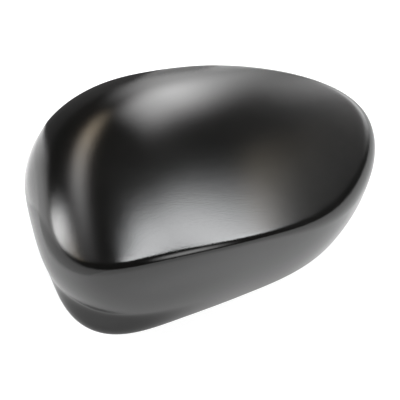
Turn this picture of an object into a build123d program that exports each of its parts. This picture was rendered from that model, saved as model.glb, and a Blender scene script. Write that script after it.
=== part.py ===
from build123d import *
import os
from math import atan2, cos, degrees, exp, hypot, radians, sin, sqrt, tan

# Wing mirror cover: one moulded shell that lies on its rim with the crown up
# X runs from the blunt inner end to the narrow tip, and the near side faces -Y

# Rim outline: direction from the crown axis in degrees, and reach from it
RIM_REACH = {
    250: 72.5,
    285: 69.5,
    325: 92.0,
    0: 113.0,
    30: 74.0,
    60: 61.5,
    90: 64.0,
    120: 73.0,
    150: 71.0,
    180: 70.0,
    205: 79.5,
    225: 81.5,
}
WALL = 2.5

# Directions of the tip, far side, inner end, corner and near side
SIDES = (0.0, 90.0, 165.0, 222.0, 280.0)

# On those five sides: outward lean of the skirt in degrees, its bulge, and
# how far the rounding of the crease reaches into the crown
SKIRT_LEAN = (12.0, -8.0, 0.0, 11.0, 12.0)
SKIRT_BULGE = (2.0, 5.0, 10.0, 3.2, 2.7)
CREASE_REACH = (9.0, 8.0, 6.5, 4.0, 3.2)

# Crown: its height on the axis, and the drop that each power of the distance
# has made at the end of the span, lengthwise, crosswise and as a twist
CROWN_HEIGHT = 80.0
SPINE_SPAN = 100.0
SPINE_DROP = (8.9, 42.4, -28.6, 8.0)
SECTION_SPAN = 70.0
SECTION_DROP = (0.0, 18.4, 9.8, 2.9)
TWIST_DROP = -12.6

# Lip that flares out of the skirt under the corner
LIP_REACH = 8.0
LIP_HEIGHT = 16.0
LIP_DIRECTION = 222.0
LIP_SPREAD = 22.0

# Snap clips inside the skirt: places as shares of the rim's length
CLIP_PLACES = (0.03, 0.18, 0.39, 0.53, 0.69, 0.8)
CLIP_WIDTH = 12.0
CLIP_THICKNESS = 2.0
CLIP_STANDOFF = 7.0
CLIP_FOOT = 3.0
CLIP_HEIGHT = 24.0
CLIP_FREE = 9.0
CLIP_BARB = 1.6
CLIP_BARB_HEIGHT = 5.0
GUSSET = 1.6

# Locating pegs on ribbed posts that hang from the crown
PEG_PLACES = ((-42.0, 8.0), (58.0, -6.0))
PEG_DIAMETER = 5.0
PEG_LENGTH = 10.0
PEG_TIP_HEIGHT = 6.0
PEG_CHAMFER = 0.8
PEG_ROOT = 1.0
POST_DIAMETER = 8.0
POST_DRAFT = 1.0
FIN = 1.6
FIN_REACH = 8.0
FIN_SETBACK = 6.0

# Fineness of the lofted skins
SPOKES = 48
SKIRT_LEVELS = 9
CREASE_LEVELS = 4
CROWN_LEVELS = 9
INNER_SPOKES = 32
INNER_LEVELS = 5
LIP_LEVELS = 3
PATCH_STEPS = 8
PATCH_MARGIN = 25.0
PROBE = 0.01
PRECISION = 1e-6

rim_points = [(r * cos(radians(a)), r * sin(radians(a))) for a, r in RIM_REACH.items()]
rim = Spline(*rim_points, periodic=True)


def ease(share):
    share = min(max(share, 0.0), 1.0)
    return share * share * (3 - 2 * share)


def around(angle, values):
    turn = degrees(angle) % 360
    starts = SIDES + (SIDES[0] + 360,)
    ends = values + (values[0],)
    k = max(i for i in range(len(SIDES)) if starts[i] <= turn)
    share = ease((turn - starts[k]) / (starts[k + 1] - starts[k]))
    return ends[k] + (ends[k + 1] - ends[k]) * share


def crown(x, y):
    along = x / SPINE_SPAN
    across = y / SECTION_SPAN
    spine = sum(drop * along**power for power, drop in enumerate(SPINE_DROP, 1))
    section = sum(drop * across**power for power, drop in enumerate(SECTION_DROP, 1))
    return CROWN_HEIGHT - spine - section - TWIST_DROP * along * across


def crown_inset(x, y, inset):
    along = (crown(x + PROBE, y) - crown(x - PROBE, y)) / (2 * PROBE)
    across = (crown(x, y + PROBE) - crown(x, y - PROBE)) / (2 * PROBE)
    return crown(x, y) - inset * sqrt(1 + along**2 + across**2)


class Spoke:
    # The cover's section from the rim up to the crown axis, in one direction

    def __init__(self, place, inset):
        rim_point = rim @ place
        self.angle = atan2(rim_point.Y, rim_point.X)
        self.inset = inset
        self.reach = hypot(rim_point.X, rim_point.Y) - inset
        self.lean = tan(radians(around(self.angle, SKIRT_LEAN)))
        self.bulge = around(self.angle, SKIRT_BULGE)
        off_lip = (degrees(self.angle) - LIP_DIRECTION + 180) % 360 - 180
        self.lip = LIP_REACH * exp(-((off_lip / LIP_SPREAD) ** 2))
        self.crease = self.crease_height()

    def top(self, r):
        return crown_inset(r * cos(self.angle), r * sin(self.angle), self.inset)

    def crease_height(self):
        low, high = 0.0, 2 * CROWN_HEIGHT
        while high - low > PRECISION:
            middle = (low + high) / 2
            if middle < self.top(self.reach + self.lean * middle):
                low = middle
            else:
                high = middle
        return low

    def skirt(self, z):
        # The bulge ends at the crease, and above it the line runs straight on
        share = z / self.crease
        lip = self.lip * ease(1 - z / LIP_HEIGHT)
        return self.reach + self.lean * z + 4 * self.bulge * share * (1 - share) + lip

    def point(self, r, z):
        return (r * cos(self.angle), r * sin(self.angle), z)

    def rounding(self):
        # Ends of the crease's rounding on skirt and crown, and the corner
        # where their tangents meet
        crease_r = self.reach + self.lean * self.crease
        crown_r = crease_r - around(self.angle, CREASE_REACH)
        crown_z = self.top(crown_r)
        fall = (self.top(crown_r + PROBE) - self.top(crown_r - PROBE)) / (2 * PROBE)
        edge = self.lean - 4 * self.bulge / self.crease
        rise = fall * (crease_r - crown_r) + crown_z - self.crease
        corner_z = self.crease + rise / (1 - fall * edge)
        corner_r = crease_r + edge * (corner_z - self.crease)
        run = hypot(corner_r - crown_r, corner_z - crown_z)
        skirt_z = corner_z - run / sqrt(1 + edge**2)
        return (self.skirt(skirt_z), skirt_z), (corner_r, corner_z), (crown_r, crown_z)

    def profile(self):
        skirt_end, corner, crown_end = self.rounding()
        rows = []
        for i in range(SKIRT_LEVELS):
            z = skirt_end[1] * i / SKIRT_LEVELS
            rows.append(self.point(self.skirt(z), z))
        for i in range(CREASE_LEVELS + 1):
            u = i / CREASE_LEVELS
            weights = ((1 - u) ** 2, 2 * u * (1 - u), u * u)
            ends = zip(skirt_end, corner, crown_end)
            rows.append(self.point(*[sum(w * v for w, v in zip(weights, end)) for end in ends]))
        for i in range(CROWN_LEVELS, 0, -1):
            r = crown_end[0] * i / (CROWN_LEVELS + 1)
            rows.append(self.point(r, self.top(r)))
        return rows

    def bevel(self, z):
        # Straight line one wall inside the crease, along its rounding
        skirt_end, corner, crown_end = self.rounding()
        middle_r, middle_z = [(a + 2 * b + c) / 4 for a, b, c in zip(skirt_end, corner, crown_end)]
        run = crown_end[0] - skirt_end[0]
        rise = crown_end[1] - skirt_end[1]
        chord = hypot(run, rise)
        inside_r = middle_r - WALL * rise / chord
        inside_z = middle_z + WALL * run / chord
        return inside_r + (z - inside_z) * run / rise


def closed_wire(points):
    return Wire([Spline(*points, periodic=True)])


def outer_form():
    # Sections through the same level of every spoke, lofted up to the apex
    profiles = [Spoke(k / SPOKES, 0.0).profile() for k in range(SPOKES)]
    levels = [closed_wire(level) for level in zip(*profiles)]
    return Solid.make_loft(levels + [Vertex(0, 0, crown(0, 0))])


def inner_form():
    # Skirt one wall inside, bevelled at the crease and cut off under the crown
    inner_spokes = [Spoke(k / INNER_SPOKES, WALL) for k in range(INNER_SPOKES)]
    outer_spokes = [Spoke(k / INNER_SPOKES, 0.0) for k in range(INNER_SPOKES)]
    rest = CROWN_HEIGHT - LIP_HEIGHT
    heights = [LIP_HEIGHT * i / LIP_LEVELS for i in range(LIP_LEVELS)]
    heights += [LIP_HEIGHT + rest * i / INNER_LEVELS for i in range(INNER_LEVELS + 1)]
    levels = [closed_wire([s.point(s.skirt(z), z) for s in inner_spokes]) for z in heights]
    skirt = Solid.make_loft(levels)
    bevels = [closed_wire([s.point(s.bevel(z), z) for s in outer_spokes]) for z in (0.0, CROWN_HEIGHT)]
    bevel = Solid.make_loft(bevels, ruled=True)

    margin = Vector(PATCH_MARGIN, PATCH_MARGIN)
    low = rim.bounding_box().min - margin
    step = (rim.bounding_box().size + 2 * margin) / PATCH_STEPS
    xs = [low.X + step.X * i for i in range(PATCH_STEPS + 1)]
    ys = [low.Y + step.Y * i for i in range(PATCH_STEPS + 1)]
    net = [[Vector(x, y, crown_inset(x, y, WALL)) for y in ys] for x in xs]
    patch = Face.make_surface_from_array_of_points(net)
    under_crown = Solid.extrude(patch, Vector(0, 0, -2 * CROWN_HEIGHT))
    return skirt & bevel & under_crown


def clip(place):
    # Tongue with an inward barb at its foot, on two gussets from the skirt
    wall_r = Spoke(place, WALL).skirt(CLIP_FOOT)
    direction = Spoke(place, WALL).angle
    wall_point = Vector(wall_r * cos(direction), wall_r * sin(direction), 0)
    tangent = rim % place
    inward = Vector(-tangent.Y, tangent.X, 0)
    side = Plane(wall_point - tangent * CLIP_WIDTH / 2, x_dir=inward, z_dir=tangent)
    top = CLIP_FOOT + CLIP_HEIGHT
    back = CLIP_STANDOFF
    front = CLIP_STANDOFF + CLIP_THICKNESS
    tongue = Polyline(
        (back, CLIP_FOOT),
        (front, CLIP_FOOT),
        (front + CLIP_BARB, CLIP_FOOT + CLIP_BARB_HEIGHT),
        (front, CLIP_FOOT + CLIP_BARB_HEIGHT),
        (front, top),
        (back, top),
        close=True,
    )
    body = extrude(side * make_face(tongue), CLIP_WIDTH)
    web = Polyline(
        (-back, CLIP_FOOT + CLIP_FREE),
        (back + GUSSET / 2, CLIP_FOOT + CLIP_FREE),
        (back + GUSSET / 2, top),
        (-back, top),
        close=True,
    )
    gusset = extrude(side * make_face(web), GUSSET)
    other = Pos(*(tangent * (CLIP_WIDTH - GUSSET))) * gusset
    return body + gusset + other


def peg(x, y):
    # Round peg on a drafted post, with four fins up to the crown
    shoulder = PEG_TIP_HEIGHT + PEG_LENGTH
    above = CROWN_HEIGHT - shoulder
    pin = Pos(x, y, PEG_TIP_HEIGHT) * Cylinder(
        PEG_DIAMETER / 2, PEG_LENGTH + PEG_ROOT, align=(Align.CENTER, Align.CENTER, Align.MIN)
    )
    pin = chamfer(pin.edges().group_by(Axis.Z)[0], PEG_CHAMFER)
    wide = POST_DIAMETER / 2 + above * tan(radians(POST_DRAFT))
    post = Pos(x, y, shoulder) * Cone(
        POST_DIAMETER / 2, wide, above, align=(Align.CENTER, Align.CENTER, Align.MIN)
    )
    fin_z = shoulder + FIN_SETBACK
    size = (2 * FIN_REACH, FIN, above)
    fin = Pos(x, y, fin_z) * Box(*size, align=(Align.CENTER, Align.CENTER, Align.MIN))
    cross = Pos(x, y, fin_z) * Rot(0, 0, 90) * Box(
        *size, align=(Align.CENTER, Align.CENTER, Align.MIN)
    )
    return post + pin + fin + cross


def foot(form):
    return form.faces().sort_by(Axis.Z)[0]


outer = outer_form()
clips = [clip(place) for place in CLIP_PLACES]
pegs = [peg(x, y) for x, y in PEG_PLACES]
hollow = inner_form() - (clips + pegs)

# The two forms become one wall, closed by the flat rim between them
rim_face = Face(foot(outer).outer_wire(), [foot(hollow).outer_wire()])
walls = [face for form in (outer, hollow) for face in form.faces() if face != foot(form)]
cover = Solid(Shell(walls + [rim_face]))

# Origin at the middle of the cover's box, on the plane of the rim
middle = outer.bounding_box().center()
cover = Pos(-middle.X, -middle.Y, 0) * cover
for x, y in PEG_PLACES:
    print("peg at", round(x - middle.X, 3), round(y - middle.Y, 3))

os.makedirs("parts", exist_ok=True)
export_step(cover, "parts/mirror_cover.step")
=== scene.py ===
import math
import bpy
import numpy as np
from mathutils import Matrix, Quaternion, Vector


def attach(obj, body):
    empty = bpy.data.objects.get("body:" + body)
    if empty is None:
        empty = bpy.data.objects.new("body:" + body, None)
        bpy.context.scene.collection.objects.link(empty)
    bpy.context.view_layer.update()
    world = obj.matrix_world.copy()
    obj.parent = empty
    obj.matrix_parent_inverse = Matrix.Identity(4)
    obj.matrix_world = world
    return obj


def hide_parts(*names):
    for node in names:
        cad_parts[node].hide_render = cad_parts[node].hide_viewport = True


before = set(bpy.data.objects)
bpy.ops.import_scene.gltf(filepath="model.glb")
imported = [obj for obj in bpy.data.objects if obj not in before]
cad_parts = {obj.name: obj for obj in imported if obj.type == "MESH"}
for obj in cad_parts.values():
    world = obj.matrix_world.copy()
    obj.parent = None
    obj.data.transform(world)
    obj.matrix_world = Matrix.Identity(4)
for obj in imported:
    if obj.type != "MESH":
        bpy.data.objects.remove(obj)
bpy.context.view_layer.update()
print("frame loaded:", sorted(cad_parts))


class Wire:
    # a node socket that takes part in Python sums
    def __init__(self, tree, socket=None):
        self.tree = tree
        self.socket = socket

    def make(self, kind, settings=None, sockets=None, out=0):
        node = self.tree.nodes.new(kind)
        for name, value in (settings or {}).items():
            setattr(node, name, value)
        for key, value in (sockets or {}).items():
            for part in value if isinstance(value, list) else [value]:
                if isinstance(part, Wire):
                    self.tree.links.new(part.socket, node.inputs[key])
                else:
                    node.inputs[key].default_value = part
        return Wire(self.tree, node.outputs[out])

    def calc(self, operation, *values):
        return self.make("ShaderNodeMath", {"operation": operation}, dict(enumerate(values)))

    def __add__(self, other):
        return self.calc("ADD", self, other)

    def __radd__(self, other):
        return self.calc("ADD", other, self)

    def __sub__(self, other):
        return self.calc("SUBTRACT", self, other)

    def __rsub__(self, other):
        return self.calc("SUBTRACT", other, self)

    def __mul__(self, other):
        return self.calc("MULTIPLY", self, other)

    def __rmul__(self, other):
        return self.calc("MULTIPLY", other, self)

    def __truediv__(self, other):
        return self.calc("DIVIDE", self, other)

    def __rtruediv__(self, other):
        return self.calc("DIVIDE", other, self)


def smooth(value, low=0.0, high=1.0):
    ends = {"Value": value, "From Min": low, "From Max": high, "To Min": 0.0, "To Max": 1.0}
    return value.make("ShaderNodeMapRange", {"interpolation_type": "SMOOTHSTEP"}, ends)


def vector(x, y, z):
    first = next(part for part in (x, y, z) if isinstance(part, Wire))
    return first.make("ShaderNodeCombineXYZ", {}, {"X": x, "Y": y, "Z": z})


def axes(value):
    return [value.make("ShaderNodeSeparateXYZ", {}, {0: value}, name) for name in "XYZ"]


def blend(operation, *values):
    first = next(part for part in values if isinstance(part, Wire))
    return first.make("ShaderNodeVectorMath", {"operation": operation}, dict(enumerate(values)))


def stretch(value, factor):
    return value.make("ShaderNodeVectorMath", {"operation": "SCALE"}, {0: value, "Scale": factor})


def mixed(share, first, second):
    # a colour between two, each a wire or plain red, green and blue
    ends = [part if isinstance(part, Wire) else (*part, 1.0) for part in (first, second)]
    return share.make("ShaderNodeMix", {"data_type": "RGBA"}, {0: share, 6: ends[0], 7: ends[1]}, 2)


def blankMaterial(name):
    material = bpy.data.materials.new(name)
    material.use_nodes = True
    material.node_tree.nodes.clear()
    return material, Wire(material.node_tree)


def surface(look):
    outlet = look.tree.nodes.new("ShaderNodeOutputMaterial")
    look.tree.links.new(look.socket, outlet.inputs["Surface"])


socketKinds = {
    float: "NodeSocketFloat",
    int: "NodeSocketInt",
    bpy.types.Object: "NodeSocketObject",
    bpy.types.Material: "NodeSocketMaterial",
}


def startTree(name, sizes):
    tree = bpy.data.node_groups.new(name, "GeometryNodeTree")
    tree.interface.new_socket("Geometry", in_out="INPUT", socket_type="NodeSocketGeometry")
    for key, value in sizes.items():
        tree.interface.new_socket(key, in_out="INPUT", socket_type=socketKinds[type(value)])
    tree.interface.new_socket("Geometry", in_out="OUTPUT", socket_type="NodeSocketGeometry")
    entry = tree.nodes.new("NodeGroupInput")
    return {socket.name: Wire(tree, socket) for socket in entry.outputs if socket.name}


def endTree(shape, material):
    shape = shape.make("GeometryNodeRealizeInstances", {}, {"Geometry": shape})
    shape = shape.make("GeometryNodeSetMaterial", {}, {"Geometry": shape, "Material": material})
    outlet = shape.tree.nodes.new("NodeGroupOutput")
    shape.tree.links.new(shape.socket, outlet.inputs[0])


def runTree(name, tree, sizes, points):
    # evaluates the tree on a mesh of loose points and keeps the result as a plain mesh
    seed = bpy.data.meshes.new(name + "Points")
    seed.from_pydata(points, [], [])
    host = bpy.data.objects.new(name + "Host", seed)
    bpy.context.scene.collection.objects.link(host)
    nodes = host.modifiers.new("nodes", "NODES")
    nodes.node_group = tree
    for item in tree.interface.items_tree:
        if item.in_out == "INPUT" and item.name in sizes:
            nodes[item.identifier] = sizes[item.name]
    ready = host.evaluated_get(bpy.context.evaluated_depsgraph_get())
    mesh = bpy.data.meshes.new_from_object(ready)
    host.modifiers.remove(nodes)
    bpy.data.objects.remove(host)
    mesh.name = name
    piece = bpy.data.objects.new(name, mesh)
    bpy.context.scene.collection.objects.link(piece)
    print(name, "has", len(mesh.polygons), "faces")
    return piece


# Black moulded plastic: satin, with a fine grain and a slight change of tone
plasticLook = {
    "black": (0.0042, 0.0041, 0.0039),
    "faded": (0.0056, 0.0054, 0.0051),
    "fadeFrom": 0.35, "fadeTo": 0.7,
    "roughness": 0.15,
    "roughnessSpread": 0.03, "flowShare": 0.7, "grainShare": 0.6,
    "grainSize": 0.0008,
    "grainDepth": 0.000045,
    "flowSize": 0.028,
    "refraction": 1.5,
}


def satinPlastic():
    look = plasticLook
    material, start = blankMaterial("satinBlackPlastic")
    place = start.make("ShaderNodeTexCoord", {}, {}, "Object")
    grain = start.make("ShaderNodeTexNoise", {}, {
        "Vector": place, "Scale": 1 / look["grainSize"], "Detail": 3.0, "Roughness": 0.6})
    flow = start.make("ShaderNodeTexNoise", {}, {
        "Vector": place, "Scale": 1 / look["flowSize"], "Detail": 4.0, "Roughness": 0.55})
    tone = mixed(smooth(flow, look["fadeFrom"], look["fadeTo"]), look["black"], look["faded"])
    spread = look["flowShare"] * (flow - 0.5) + look["grainShare"] * (grain - 0.5)
    roughness = look["roughness"] + look["roughnessSpread"] * spread
    bump = start.make("ShaderNodeBump", {}, {
        "Height": grain, "Strength": 1.0, "Distance": look["grainDepth"]})
    surface(start.make("ShaderNodeBsdfPrincipled", {}, {
        "Base Color": tone, "Roughness": roughness, "Normal": bump, "IOR": look["refraction"]}))
    return material


plastic = satinPlastic()

# Rim of the cover, seen from above: direction from the crown axis and reach from it, in mm
rimReach = {250: 72.5, 285: 69.5, 325: 92.0, 0: 113.0, 30: 74.0, 60: 61.5,
            90: 64.0, 120: 73.0, 150: 71.0, 180: 70.0, 205: 79.5, 225: 81.5}


def rimCurve():
    # smooth closed line through the rim's points, its handles from one even-bending spline
    turn = np.radians(list(rimReach))
    reach = np.array(list(rimReach.values()))
    points = np.stack([reach * np.cos(turn), reach * np.sin(turn)], 1)
    count = len(points)
    after = np.roll(points, -1, 0) - points
    step = np.hypot(after[:, 0], after[:, 1])
    slope = after / step[:, None]
    matrix = np.zeros((count, count))
    wanted = np.zeros((count, 2))
    for i in range(count):
        before = i - 1
        matrix[i, before] = step[i]
        matrix[i, i] = 2 * (step[before] + step[i])
        matrix[i, (i + 1) % count] = step[before]
        wanted[i] = 3 * (step[i] * slope[before] + step[before] * slope[i])
    tangent = np.linalg.solve(matrix, wanted)
    data = bpy.data.curves.new("rimLine", "CURVE")
    data.dimensions = "3D"
    spline = data.splines.new("BEZIER")
    spline.bezier_points.add(count - 1)
    spline.use_cyclic_u = True
    spline.resolution_u = 64
    for i, knot in enumerate(spline.bezier_points):
        knot.handle_left_type = knot.handle_right_type = "FREE"
        knot.co = (*points[i], 0)
        knot.handle_right = (*(points[i] + tangent[i] * step[i] / 3), 0)
        knot.handle_left = (*(points[i] - tangent[i] * step[i - 1] / 3), 0)
    line = bpy.data.objects.new("rimLine", data)
    bpy.context.scene.collection.objects.link(line)
    return line


rimLine = rimCurve()

# Cover shell, in mm and degrees. Sides are the tip, far side, inner end, corner and near side
sideTurns = (0.0, 90.0, 165.0, 222.0, 280.0, 360.0)
sideNames = ("Tip", "Far", "Inner", "Corner", "Near")
shellSizes = {
    "Rim": rimLine,
    "Material": plastic,
    "Wall": 2.5,
    "Tip Lean": 12.0, "Far Lean": -8.0, "Inner Lean": 0.0, "Corner Lean": 11.0, "Near Lean": 12.0,
    "Tip Bulge": 2.0, "Far Bulge": 5.0, "Inner Bulge": 10.0, "Corner Bulge": 3.2, "Near Bulge": 2.7,
    "Tip Crease": 9.0, "Far Crease": 8.0, "Inner Crease": 6.5, "Corner Crease": 4.0, "Near Crease": 3.2,
    "Crown Height": 80.0,
    "Spine Span": 100.0, "Spine 1": 8.9, "Spine 2": 42.4, "Spine 3": -28.6, "Spine 4": 8.0,
    "Section Span": 70.0, "Section 1": 0.0, "Section 2": 18.4, "Section 3": 9.8, "Section 4": 2.9,
    "Twist": -12.6,
    "Lip Reach": 8.0, "Lip Height": 16.0, "Lip Turn": 222.0, "Lip Spread": 22.0,
    "Spokes": 240, "Skirt Rows": 44, "Crease Rows": 14, "Crown Rows": 44,
    "Weld": 0.002, "Sharp Bend": 0.7,
}


def shellTree():
    size = startTree("coverShell", shellSizes)
    start = size["Wall"]
    curve = start.make("GeometryNodeObjectInfo", {}, {"Object": size["Rim"]}, "Geometry")
    across, up, _ = axes(start.make("GeometryNodeInputPosition"))
    around = across + 0.5
    level = up + 0.5
    spot = start.make("GeometryNodeSampleCurve", {"mode": "FACTOR"}, {
        "Curves": curve, "Factor": around}, "Position")
    rimX, rimY, _ = axes(spot)
    reach = rimX.calc("SQRT", rimX * rimX + rimY * rimY)
    angle = rimY.calc("ARCTAN2", rimY, rimX)
    turn = angle.calc("FLOORED_MODULO", angle * (180 / math.pi) + 360.0, 360.0)
    cosine = angle.calc("COSINE", angle)
    sine = angle.calc("SINE", angle)

    def bySide(what):
        values = [size[f"{side} {what}"] for side in sideNames]
        total = values[0]
        for k, value in enumerate(values):
            change = values[(k + 1) % len(values)] - value
            total = total + change * smooth(turn, sideTurns[k], sideTurns[k + 1])
        return total

    lean = angle.calc("TANGENT", bySide("Lean") * (math.pi / 180))
    bulge = bySide("Bulge")
    crease = bySide("Crease")
    off = angle.calc("WRAP", turn - size["Lip Turn"], 180.0, -180.0) / size["Lip Spread"]
    lip = size["Lip Reach"] * off.calc("EXPONENT", 0.0 - off * off)

    def power(share, name):
        drops = [size[f"{name} {i}"] for i in (4, 3, 2, 1)]
        total = drops[0] * share
        for drop in drops[1:]:
            total = (total + drop) * share
        return total

    def crown(r):
        along = r * cosine / size["Spine Span"]
        over = r * sine / size["Section Span"]
        drop = power(along, "Spine") + power(over, "Section") + size["Twist"] * along * over
        return size["Crown Height"] - drop

    # height at which the straight skirt meets the crown, closing in on it
    rounds = 9
    top = 0.6 * size["Crown Height"]
    for _ in range(rounds):
        top = crown(reach + lean * top)

    def skirt(z):
        share = z / top
        flare = lip * smooth(1.0 - z / size["Lip Height"])
        return reach + lean * z + 4.0 * bulge * share * (1.0 - share) + flare

    # the crease's rounding: its two ends and the corner between their tangents
    creaseR = reach + lean * top
    crownR = creaseR - crease
    crownZ = crown(crownR)
    halfStep = 0.5
    fall = crown(crownR + halfStep) - crown(crownR - halfStep)  # over one mm
    edge = lean - 4.0 * bulge / top
    cornerZ = top + (fall * crease + crownZ - top) / (1.0 - fall * edge)
    cornerR = creaseR + edge * (cornerZ - top)
    sideR = cornerR - crownR
    sideZ = cornerZ - crownZ
    run = crease.calc("SQRT", sideR * sideR + sideZ * sideZ)
    skirtZ = cornerZ - run / edge.calc("SQRT", 1.0 + edge * edge)
    skirtR = skirt(skirtZ)

    def band(rows, r, z):
        # a strip of the skin all the way round, from its lower to its upper row
        grid = start.make("GeometryNodeMeshGrid", {}, {
            "Size X": 1.0, "Size Y": 1.0, "Vertices X": size["Spokes"] + 1, "Vertices Y": rows})
        place = vector(r * cosine, r * sine, z)
        return start.make("GeometryNodeSetPosition", {}, {"Geometry": grid, "Position": place})

    low = skirtZ * level
    back = 1.0 - level
    weights = (back * back, 2.0 * level * back, level * level)
    inner = crownR * back
    skirtBand = band(size["Skirt Rows"], skirt(low), low)
    creaseBand = band(
        size["Crease Rows"],
        weights[0] * skirtR + weights[1] * cornerR + weights[2] * crownR,
        weights[0] * skirtZ + weights[1] * cornerZ + weights[2] * crownZ)
    crownBand = band(size["Crown Rows"], inner, crown(inner))
    outer = start.make("GeometryNodeJoinGeometry", {}, {"Geometry": [skirtBand, creaseBand, crownBand]})
    outer = start.make("GeometryNodeMergeByDistance", {}, {"Geometry": outer, "Distance": size["Weld"]})

    # the inside is the same skin one wall deeper, with its foot on the rim's plane
    here = start.make("GeometryNodeInputPosition")
    normal = start.make("GeometryNodeInputNormal")
    hereX, hereY, hereZ = axes(here)
    footLevel = 0.01
    isFoot = hereZ.calc("LESS_THAN", hereZ, footLevel)
    flat = vector(hereX, hereY, 0.0)
    inwards = stretch(blend("NORMALIZE", flat), 0.0 - size["Wall"])
    deeper = stretch(normal, 0.0 - size["Wall"])
    shift = start.make("ShaderNodeMix", {"data_type": "VECTOR"}, {0: isFoot, 4: deeper, 5: inwards}, 1)
    inside = start.make("GeometryNodeSetPosition", {}, {"Geometry": outer, "Offset": shift})
    inside = start.make("GeometryNodeFlipFaces", {}, {"Mesh": inside})
    rim = band(2, skirt(0.0 * level) - size["Wall"] * level, 0.0)
    rim = start.make("GeometryNodeFlipFaces", {}, {"Mesh": rim})
    shell = start.make("GeometryNodeJoinGeometry", {}, {"Geometry": [outer, inside, rim]})
    shell = start.make("GeometryNodeMergeByDistance", {}, {"Geometry": shell, "Distance": size["Weld"]})
    shell = start.make("GeometryNodeSetShadeSmooth", {"domain": "FACE"}, {0: shell})
    bend = start.make("GeometryNodeInputMeshEdgeAngle", {}, {}, 0)
    shell = start.make("GeometryNodeSetShadeSmooth", {"domain": "EDGE"}, {
        0: shell, 1: bend.calc("GREATER_THAN", bend, size["Sharp Bend"]), 2: False})
    endTree(shell, size["Material"])
    return start.tree


coverShell = runTree("coverShell", shellTree(), shellSizes, [(0, 0, 0)])
corners = [Vector(c) for c in coverShell.bound_box]
print("shell in mm:", [round(min(c[i] for c in corners), 2) for i in range(3)],
      [round(max(c[i] for c in corners), 2) for i in range(3)])
middle = [(min(c[i] for c in corners) + max(c[i] for c in corners)) / 2 for i in range(2)]
toFrame = Matrix.Scale(0.001, 4) @ Matrix.Translation((-middle[0], -middle[1], 0))


def settle(piece):
    # from mm round the crown axis to metres in the frame, and onto its body
    piece.data.transform(toFrame)
    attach(piece, "root")


# Snap clips inside the skirt, in mm; their places are shares of the rim's length
clipPlaces = (0.03, 0.18, 0.39, 0.53, 0.69, 0.8)
clipSizes = {
    "Rim": rimLine,
    "Shell": coverShell,
    "Material": plastic,
    "Width": 12.0, "Thickness": 2.0, "Standoff": 7.0, "Foot": 3.0, "Height": 24.0, "Free": 9.0,
    "Barb": 1.6, "Barb Height": 5.0, "Gusset": 1.6, "Root": 0.8,
    "Barb Lap": 0.3, "Gusset Lap": 0.5, "Gusset Back": 1.0,
}
rayReach = 300.0
slack = 0.1


def surfaceHit(target, source, direction):
    return source.make("GeometryNodeRaycast", {}, {
        "Target Geometry": target, "Source Position": source, "Ray Direction": direction,
        "Ray Length": rayReach}, "Hit Position")


def block(low, high):
    size = vector(*[b - a for a, b in zip(low, high)])
    middle = vector(*[(a + b) * 0.5 for a, b in zip(low, high)])
    cube = size.make("GeometryNodeMeshCube", {}, {"Size": size})
    return size.make("GeometryNodeSetPosition", {}, {"Geometry": cube, "Offset": middle})


def remember(shape, name, value, kind="FLOAT_VECTOR"):
    return shape.make("GeometryNodeStoreNamedAttribute", {"data_type": kind, "domain": "POINT"}, {
        "Geometry": shape, "Name": name, "Value": value})


def recall(start, name, kind="FLOAT_VECTOR"):
    return start.make("GeometryNodeInputNamedAttribute", {"data_type": kind}, {"Name": name})


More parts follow.
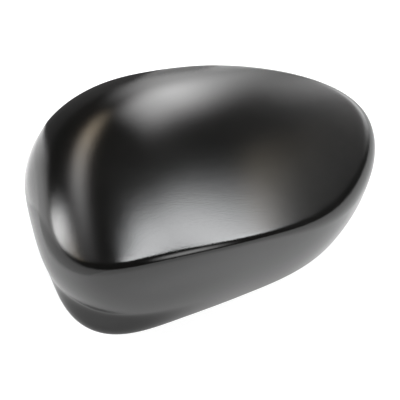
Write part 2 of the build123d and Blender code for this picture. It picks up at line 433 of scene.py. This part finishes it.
def clipTree():
    size = startTree("snapClips", clipSizes)
    start = size["Width"]
    curve = start.make("GeometryNodeObjectInfo", {}, {"Object": size["Rim"]}, "Geometry")
    shell = start.make("GeometryNodeObjectInfo", {}, {"Object": size["Shell"]}, "Geometry")
    here = start.make("GeometryNodeInputPosition")
    x, _, z = axes(here)
    onRim = {"Curves": curve, "Factor": x}
    rimX, rimY, _ = axes(start.make("GeometryNodeSampleCurve", {"mode": "FACTOR"}, onRim, "Position"))
    aheadX, aheadY, _ = axes(start.make("GeometryNodeSampleCurve", {"mode": "FACTOR"}, onRim, "Tangent"))
    foot = surfaceHit(shell, vector(0.0, 0.0, size["Foot"]), vector(rimX, rimY, 0.0))
    footX, footY, _ = axes(foot)
    places = remember(size["Geometry"], "outward", vector(aheadY, 0.0 - aheadX, 0.0))
    places = start.make("GeometryNodeSetPosition", {}, {
        "Geometry": places, "Position": vector(footX, footY, 0.0)})
    outward = recall(start, "outward")
    facing = start.make("FunctionNodeAxesToRotation", {"primary_axis": "X", "secondary_axis": "Z"}, {
        0: stretch(outward, -1.0), 1: (0.0, 0.0, 1.0)})

    # one clip at the origin, its back to the wall: tongue, barb and two gussets
    half = size["Width"] / 2
    top = size["Foot"] + size["Height"]
    back = size["Standoff"]
    front = back + size["Thickness"]
    tongue = block((back, 0.0 - half, size["Foot"]), (front, half, top))
    barbTop = size["Foot"] + size["Barb Height"]
    barb = block((front - size["Barb Lap"], 0.0 - half, size["Foot"]), (front + size["Barb"], half, barbTop))
    isOut = x.calc("GREATER_THAN", x, front)
    isLow = z.calc("LESS_THAN", z, size["Foot"] + slack)
    barb = start.make("GeometryNodeSetPosition", {}, {
        "Geometry": barb, "Offset": vector(0.0 - size["Barb"] * isOut * isLow, 0.0, 0.0)})
    parts = [tongue, barb]
    for low in (0.0 - half, half - size["Gusset"]):
        gusset = block(
            (0.0 - size["Gusset Back"], low, size["Foot"] + size["Free"]),
            (back + size["Gusset Lap"], low + size["Gusset"], top))
        parts.append(remember(gusset, "atWall", x.calc("LESS_THAN", x, 0.0), "FLOAT"))
    clip = start.make("GeometryNodeJoinGeometry", {}, {"Geometry": parts})
    clips = start.make("GeometryNodeInstanceOnPoints", {}, {
        "Points": places, "Instance": clip, "Rotation": facing})
    clips = start.make("GeometryNodeRealizeInstances", {}, {"Geometry": clips})

    # the gussets' backs move out to the wall and a little into it
    source = blend("SUBTRACT", here, stretch(outward, size["Standoff"]))
    wall = blend("ADD", surfaceHit(shell, source, outward), stretch(outward, size["Root"]))
    clips = start.make("GeometryNodeSetPosition", {}, {
        "Geometry": clips, "Selection": recall(start, "atWall", "FLOAT"), "Position": wall})
    endTree(clips, size["Material"])
    return start.tree


# Locating pegs on ribbed posts under the crown, in mm
pegPlaces = ((-42.0, 8.0), (58.0, -6.0))
pegSizes = {
    "Shell": coverShell,
    "Material": plastic,
    "Pin Diameter": 5.0, "Pin Length": 10.0, "Pin Tip": 6.0, "Chamfer": 0.8, "Pin Root": 1.0,
    "Post Diameter": 8.0, "Post Draft": 1.0, "Fin": 1.6, "Fin Reach": 8.0, "Fin Setback": 6.0,
    "Crown Height": 80.0, "Root": 1.0, "Top Band": 1.0,
    "Sides": 48, "Sharp Bend": 0.5,
}


def pegTree():
    size = startTree("locatingPegs", pegSizes)
    start = size["Fin"]
    shell = start.make("GeometryNodeObjectInfo", {}, {"Object": size["Shell"]}, "Geometry")
    x, y, z = axes(start.make("GeometryNodeInputPosition"))

    def stub(low, high, foot, depth, rings):
        cone = start.make("GeometryNodeMeshCone", {}, {
            "Vertices": size["Sides"], "Side Segments": rings,
            "Radius Top": high, "Radius Bottom": low, "Depth": depth})
        return start.make("GeometryNodeSetPosition", {}, {"Geometry": cone, "Offset": vector(0.0, 0.0, foot)})

    pinR = size["Pin Diameter"] / 2
    pinLong = size["Pin Length"] + size["Pin Root"]
    rings = pinLong.calc("ROUND", pinLong / size["Chamfer"])
    pin = stub(pinR, pinR, size["Pin Tip"], pinLong, rings)
    taper = (size["Chamfer"] / pinR) * z.calc("LESS_THAN", z, size["Pin Tip"] + slack)
    pin = start.make("GeometryNodeSetPosition", {}, {
        "Geometry": pin, "Offset": vector(0.0 - x * taper, 0.0 - y * taper, 0.0)})
    shoulder = size["Pin Tip"] + size["Pin Length"]
    above = size["Crown Height"] - shoulder
    postR = size["Post Diameter"] / 2
    draft = above * above.calc("TANGENT", size["Post Draft"] * (math.pi / 180))
    post = stub(postR, postR + draft, shoulder, above, 1)
    finFoot = shoulder + size["Fin Setback"]
    reach = size["Fin Reach"]
    thin = size["Fin"] / 2
    finTop = size["Crown Height"]
    fin = block((0.0 - reach, 0.0 - thin, finFoot), (reach, thin, finTop))
    cross = block((0.0 - thin, 0.0 - reach, finFoot), (thin, reach, finTop))
    peg = start.make("GeometryNodeJoinGeometry", {}, {"Geometry": [pin, post, fin, cross]})
    pegs = start.make("GeometryNodeInstanceOnPoints", {}, {"Points": size["Geometry"], "Instance": peg})
    pegs = start.make("GeometryNodeRealizeInstances", {}, {"Geometry": pegs})

    # the tops follow the crown's inside and go a little into it
    hit = surfaceHit(shell, vector(x, y, finFoot), (0.0, 0.0, 1.0))
    pegs = start.make("GeometryNodeSetPosition", {}, {
        "Geometry": pegs, "Selection": z.calc("GREATER_THAN", z, finTop - size["Top Band"]),
        "Position": hit, "Offset": vector(0.0, 0.0, size["Root"])})
    pegs = start.make("GeometryNodeSetShadeSmooth", {"domain": "FACE"}, {0: pegs})
    bend = start.make("GeometryNodeInputMeshEdgeAngle", {}, {}, 0)
    pegs = start.make("GeometryNodeSetShadeSmooth", {"domain": "EDGE"}, {
        0: pegs, 1: bend.calc("GREATER_THAN", bend, size["Sharp Bend"]), 2: False})
    endTree(pegs, size["Material"])
    return start.tree


snapClips = runTree("snapClips", clipTree(), clipSizes, [(place, 0, 0) for place in clipPlaces])
locatingPegs = runTree("locatingPegs", pegTree(), pegSizes, [(x, y, 0) for x, y in pegPlaces])
for piece in (coverShell, snapClips, locatingPegs):
    settle(piece)
    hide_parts("mirror_cover")
bpy.data.objects.remove(rimLine)

# Studio: white floor, a long strip light overhead and feathered cards; turn, height and tilt are in degrees
studio = {
    "floorWhite": 0.4,
    "floorShown": 0.78,
    "floorMirrored": 0.65,
    "floorRadius": 6.0,
    "floorSides": 64,
    "sectorSteps": 12,
    "sectorLift": 0.0004,
    "cardDistance": 1.6,
    "cardFade": 0.87,
    "cardBlend": 0.5,
    "world": (0.004, 0.004, 0.0041, 1.0),
}
dark = (0.0, 0.0, 0.0)
white = (1.0, 1.0, 1.0)
amber = (1.0, 0.84, 0.62)
stripLight = {
    "height": 1.5,
    "corners": [(2.74, 0.7), (0.0, 0.5), (-1.3, 0.8), (-1.3, 0.15), (0.2, 0.12), (2.74, -0.5)],
    "farEdge": 0.47, "tipSlope": 0.075, "bluntSlope": 0.08,
    "feather": 0.16, "featherSlope": 0.2, "leastFeather": 0.05,
    "tipEnd": 2.74, "tipFeather": 1.2,
    "radiance": 13.5,
    "colour": (0.97, 0.99, 1.0),
}
# each card's direction from the cover, its size in metres, and its colours from end to end
cards = {
    "back": dict(turn=67, height=33, tilt=38, width=1.44, tall=1.15, radiance=6.0),
    "backLow": dict(turn=66, height=15, tilt=-30, width=1.5, tall=1.3, radiance=2.5),
    "streak": dict(turn=124, height=28, tilt=-3, width=1.9, tall=0.42, radiance=4.6, first=amber),
    "leftSpot": dict(turn=145, height=9, width=0.3, tall=0.6, radiance=17.0),
    "leftSpark": dict(turn=152, height=15, width=0.22, tall=0.16, radiance=5.0, first=amber, last=amber),
    "tipGlow": dict(turn=13, height=37, width=0.6, tall=0.4, radiance=1.4, first=amber, last=amber),
    "right": dict(turn=29, height=10, tilt=5, width=1.3, tall=1.0, radiance=5.2),
    "front": dict(turn=278, height=42, width=2.4, tall=2.0, radiance=4.5),
}
# parts of the floor that the plastic mirrors brighter or darker: turns, reaches in metres and radiance
floorSectors = {
    "farMiddle": dict(first=64, last=78, near=0.085, far=5.9, radiance=0.7),
    "farFlag": dict(first=78, last=120, near=0.085, far=5.9, radiance=0.1),
    "leftFlag": dict(first=155, last=205, near=0.15, far=5.9, radiance=1.1),
    "leftGlow": dict(first=120, last=155, near=0.12, far=0.45, radiance=1.8),
}


def towards(turn, height, distance):
    a = math.radians(turn)
    e = math.radians(height)
    return Vector((math.cos(a) * math.cos(e), math.sin(a) * math.cos(e), math.sin(e))) * distance


def flatPiece(name, corners):
    mesh = bpy.data.meshes.new(name)
    mesh.from_pydata(corners, [], [list(range(len(corners)))])
    piece = bpy.data.objects.new(name, mesh)
    bpy.context.scene.collection.objects.link(piece)
    material, start = blankMaterial(name)
    mesh.materials.append(material)
    return piece, start


def shine(colour, radiance):
    # gives light and hides nothing behind it
    clear = colour.make("ShaderNodeBsdfTransparent")
    glow = colour.make("ShaderNodeEmission", {}, {"Color": colour, "Strength": radiance})
    surface(colour.make("ShaderNodeAddShader", {}, {0: clear, 1: glow}))


def makeFloor():
    sides = studio["floorSides"]
    ring = [towards(360 * k / sides, 0, studio["floorRadius"]) for k in range(sides)]
    _, start = flatPiece("studioFloor", ring)
    seen, mirrored, through = [start.make("ShaderNodeLightPath", {}, {}, name) for name in (
        "Is Camera Ray", "Is Glossy Ray", "Is Transmission Ray")]
    glow = studio["floorShown"] * seen + studio["floorMirrored"] * mirrored.calc("MAXIMUM", mirrored, through)
    tone = studio["floorWhite"]
    paint = start.make("ShaderNodeBsdfDiffuse", {}, {"Color": (tone, tone, tone, 1.0)})
    glow = start.make("ShaderNodeEmission", {}, {"Strength": glow})
    surface(start.make("ShaderNodeAddShader", {}, {0: paint, 1: glow}))


def makeStrip():
    # its far edge fades, more so towards the tip's end
    light = stripLight
    strip, start = flatPiece("stripLight", [(x, y, light["height"]) for x, y in light["corners"]])
    strip.visible_camera = False
    along, across, _ = axes(start.make("ShaderNodeTexCoord", {}, {}, "Object"))
    tipwards = along.calc("MAXIMUM", along, 0.0)
    bluntwards = tipwards - along
    inside = light["farEdge"] + light["tipSlope"] * tipwards + light["bluntSlope"] * bluntwards - across
    fade = light["feather"] + light["featherSlope"] * along
    fade = fade.calc("MAXIMUM", fade, light["leastFeather"])
    share = smooth(inside / fade) * smooth((light["tipEnd"] - along) / light["tipFeather"])
    shine(mixed(share, dark, light["colour"]), light["radiance"])


def makeCard(name, turn, height, width, tall, radiance, tilt=0, first=white, last=white):
    # brightest in its middle and fading to its edges
    corners = [(width / 2 * x, tall / 2 * y, 0) for x, y in ((-1, -1), (1, -1), (1, 1), (-1, 1))]
    card, start = flatPiece(name, corners)
    card.visible_camera = False
    card.location = towards(turn, height, studio["cardDistance"])
    card.rotation_mode = "QUATERNION"
    facing = (-card.location).to_track_quat("-Z", "Y")
    card.rotation_quaternion = facing @ Quaternion((0, 0, 1), math.radians(tilt))
    across, up, _ = axes(start.make("ShaderNodeTexCoord", {}, {}, "Object"))
    share = 1.0
    for place, size in ((across, width), (up, tall)):
        share = share * smooth(1.0 - place.calc("ABSOLUTE", place) * (2 / size), 0.0, studio["cardFade"])
    tone = mixed(smooth(across * (2 / width), -studio["cardBlend"], studio["cardBlend"]), first, last)
    shine(mixed(share, dark, tone), radiance)


def makeSector(name, first, last, near, far, radiance):
    # only the plastic's reflections see it
    steps = studio["sectorSteps"]
    lift = Vector((0, 0, studio["sectorLift"]))
    turns = [first + (last - first) * k / steps for k in range(steps + 1)]
    corners = [towards(t, 0, near) + lift for t in turns]
    corners += [towards(t, 0, far) + lift for t in reversed(turns)]
    sector, start = flatPiece(name, corners)
    sector.visible_camera = sector.visible_diffuse = sector.visible_shadow = False
    surface(start.make("ShaderNodeEmission", {}, {"Strength": radiance}))


makeFloor()
makeStrip()
for name, values in floorSectors.items():
    makeSector(name, **values)
for name, values in cards.items():
    makeCard(name, **values)
world = bpy.data.worlds.new("studio")
world.use_nodes = True
world.node_tree.nodes["Background"].inputs["Color"].default_value = studio["world"]
bpy.context.scene.world = world
print("studio set")

# Camera at the photo's viewing angle
view = {"turn": 21.7, "height": 47.5, "distance": 0.817, "focalPixels": 1485.0, "aim": (0.0, 0.0, 30.0),
        "shiftPixels": (30.8, -19.9), "imagePixels": 400, "sensor": 36.0}


def makeCamera():
    a = math.radians(view["turn"])
    e = math.radians(view["height"])
    back = Vector((-math.sin(a) * math.cos(e), -math.cos(a) * math.cos(e), math.sin(e)))
    data = bpy.data.cameras.new("camera")
    data.sensor_width = view["sensor"]
    data.lens = view["focalPixels"] * view["sensor"] / view["imagePixels"]
    data.shift_x = view["shiftPixels"][0] / view["imagePixels"]
    data.shift_y = view["shiftPixels"][1] / view["imagePixels"]
    data.clip_start = 0.01
    camera = bpy.data.objects.new("camera", data)
    camera.rotation_mode = "QUATERNION"
    camera.location = toFrame @ Vector(view["aim"]) + back * view["distance"]
    camera.rotation_quaternion = (-back).to_track_quat("-Z", "Y")
    bpy.context.scene.collection.objects.link(camera)
    bpy.context.scene.camera = camera


makeCamera()
bpy.context.scene.view_settings.view_transform = "Standard"
